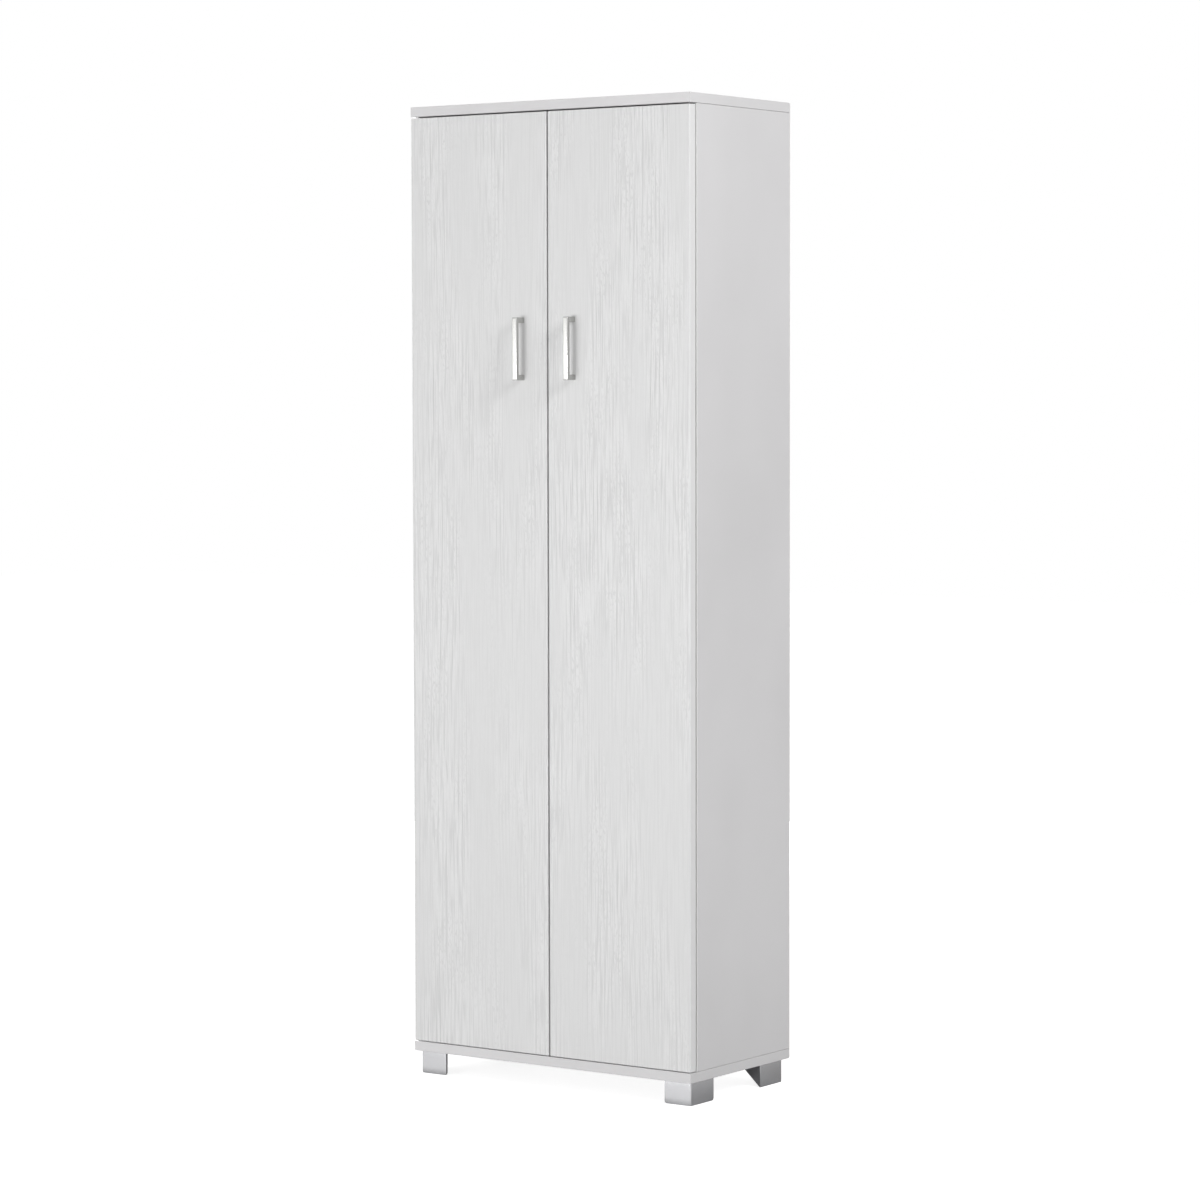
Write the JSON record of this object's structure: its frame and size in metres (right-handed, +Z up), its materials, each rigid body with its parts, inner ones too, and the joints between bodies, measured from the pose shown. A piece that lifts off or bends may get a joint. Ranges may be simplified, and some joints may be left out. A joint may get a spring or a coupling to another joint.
{
  "type": "storage cupboard",
  "caption": "Tall narrow white storage cupboard with full-height hinged wood-grain doors, bar handles, inner shelves and a box carcass on L-shaped corner feet.",
  "frame": {"origin": "on the floor, under the centre of the whole outline, handles included", "axes": "+Z up, -Y out of the doors towards the user, +X to the user's right"},
  "size_m": [0.624, 0.352, 1.8],
  "materials": {
    "white_grained_foil": "white foil with fine embossed upright wood grain, satin",
    "white_melamine": "smooth white melamine on chipboard, satin",
    "hardboard": "hardboard, brown outside, white lacquer inside",
    "satin_metal": "satin chrome",
    "silver_plastic": "moulded plastic, silver grey",
    "nickelled_steel": "nickel-plated pressed steel",
    "clear_rubber": "translucent soft pad"
  },
  "bodies": {
    "carcass": {"top_panel": "white_melamine", "bottom_panel": "white_melamine", "left_side_panel": "white_melamine", "right_side_panel": "white_melamine", "back_panel": "hardboard", "fixed_shelf": "white_melamine", "adjustable_shelf_1": "white_melamine", "adjustable_shelf_2": "white_melamine", "adjustable_shelf_3": "white_melamine", "shelf_1_pin_front_left": "nickelled_steel", "shelf_1_pin_rear_left": "nickelled_steel", "shelf_1_pin_front_right": "nickelled_steel", "shelf_1_pin_rear_right": "nickelled_steel", "shelf_2_pin_front_left": "nickelled_steel", "shelf_2_pin_rear_left": "nickelled_steel", "shelf_2_pin_front_right": "nickelled_steel", "shelf_2_pin_rear_right": "nickelled_steel", "shelf_3_pin_front_left": "nickelled_steel", "shelf_3_pin_rear_left": "nickelled_steel", "shelf_3_pin_front_right": "nickelled_steel", "shelf_3_pin_rear_right": "nickelled_steel", "front_left_foot": "silver_plastic", "front_right_foot": "silver_plastic", "rear_left_foot": "silver_plastic", "rear_right_foot": "silver_plastic", "wall_bracket": "nickelled_steel", "left_door_bumper": "clear_rubber", "left_lower_hinge_arm": "nickelled_steel", "left_lower_hinge_plate": "nickelled_steel", "left_middle_hinge_arm": "nickelled_steel", "left_middle_hinge_plate": "nickelled_steel", "left_upper_hinge_arm": "nickelled_steel", "left_upper_hinge_plate": "nickelled_steel", "right_door_bumper": "clear_rubber", "right_lower_hinge_arm": "nickelled_steel", "right_lower_hinge_plate": "nickelled_steel", "right_middle_hinge_arm": "nickelled_steel", "right_middle_hinge_plate": "nickelled_steel", "right_upper_hinge_arm": "nickelled_steel", "right_upper_hinge_plate": "nickelled_steel"},
    "left_door": {"left_door": "white_grained_foil", "left_handle": "satin_metal", "left_handle_lower_screw": "nickelled_steel", "left_handle_upper_screw": "nickelled_steel", "left_lower_hinge_cup": "nickelled_steel", "left_lower_hinge_pin": "nickelled_steel", "left_middle_hinge_cup": "nickelled_steel", "left_middle_hinge_pin": "nickelled_steel", "left_upper_hinge_cup": "nickelled_steel", "left_upper_hinge_pin": "nickelled_steel"},
    "right_door": {"right_door": "white_grained_foil", "right_handle": "satin_metal", "right_handle_lower_screw": "nickelled_steel", "right_handle_upper_screw": "nickelled_steel", "right_lower_hinge_cup": "nickelled_steel", "right_lower_hinge_pin": "nickelled_steel", "right_middle_hinge_cup": "nickelled_steel", "right_middle_hinge_pin": "nickelled_steel", "right_upper_hinge_cup": "nickelled_steel", "right_upper_hinge_pin": "nickelled_steel"}
  },
  "joints": [
    {"name": "left_door_hinge", "type": "hinge", "parent": "carcass", "child": "left_door", "pos_m": [-0.3035, -0.143, 0.9215], "axis": [0, 0, -1], "range_deg": [0, 95]},
    {"name": "right_door_hinge", "type": "hinge", "parent": "carcass", "child": "right_door", "pos_m": [0.3035, -0.143, 0.9215], "axis": [0, 0, 1], "range_deg": [0, 95]}
  ]
}
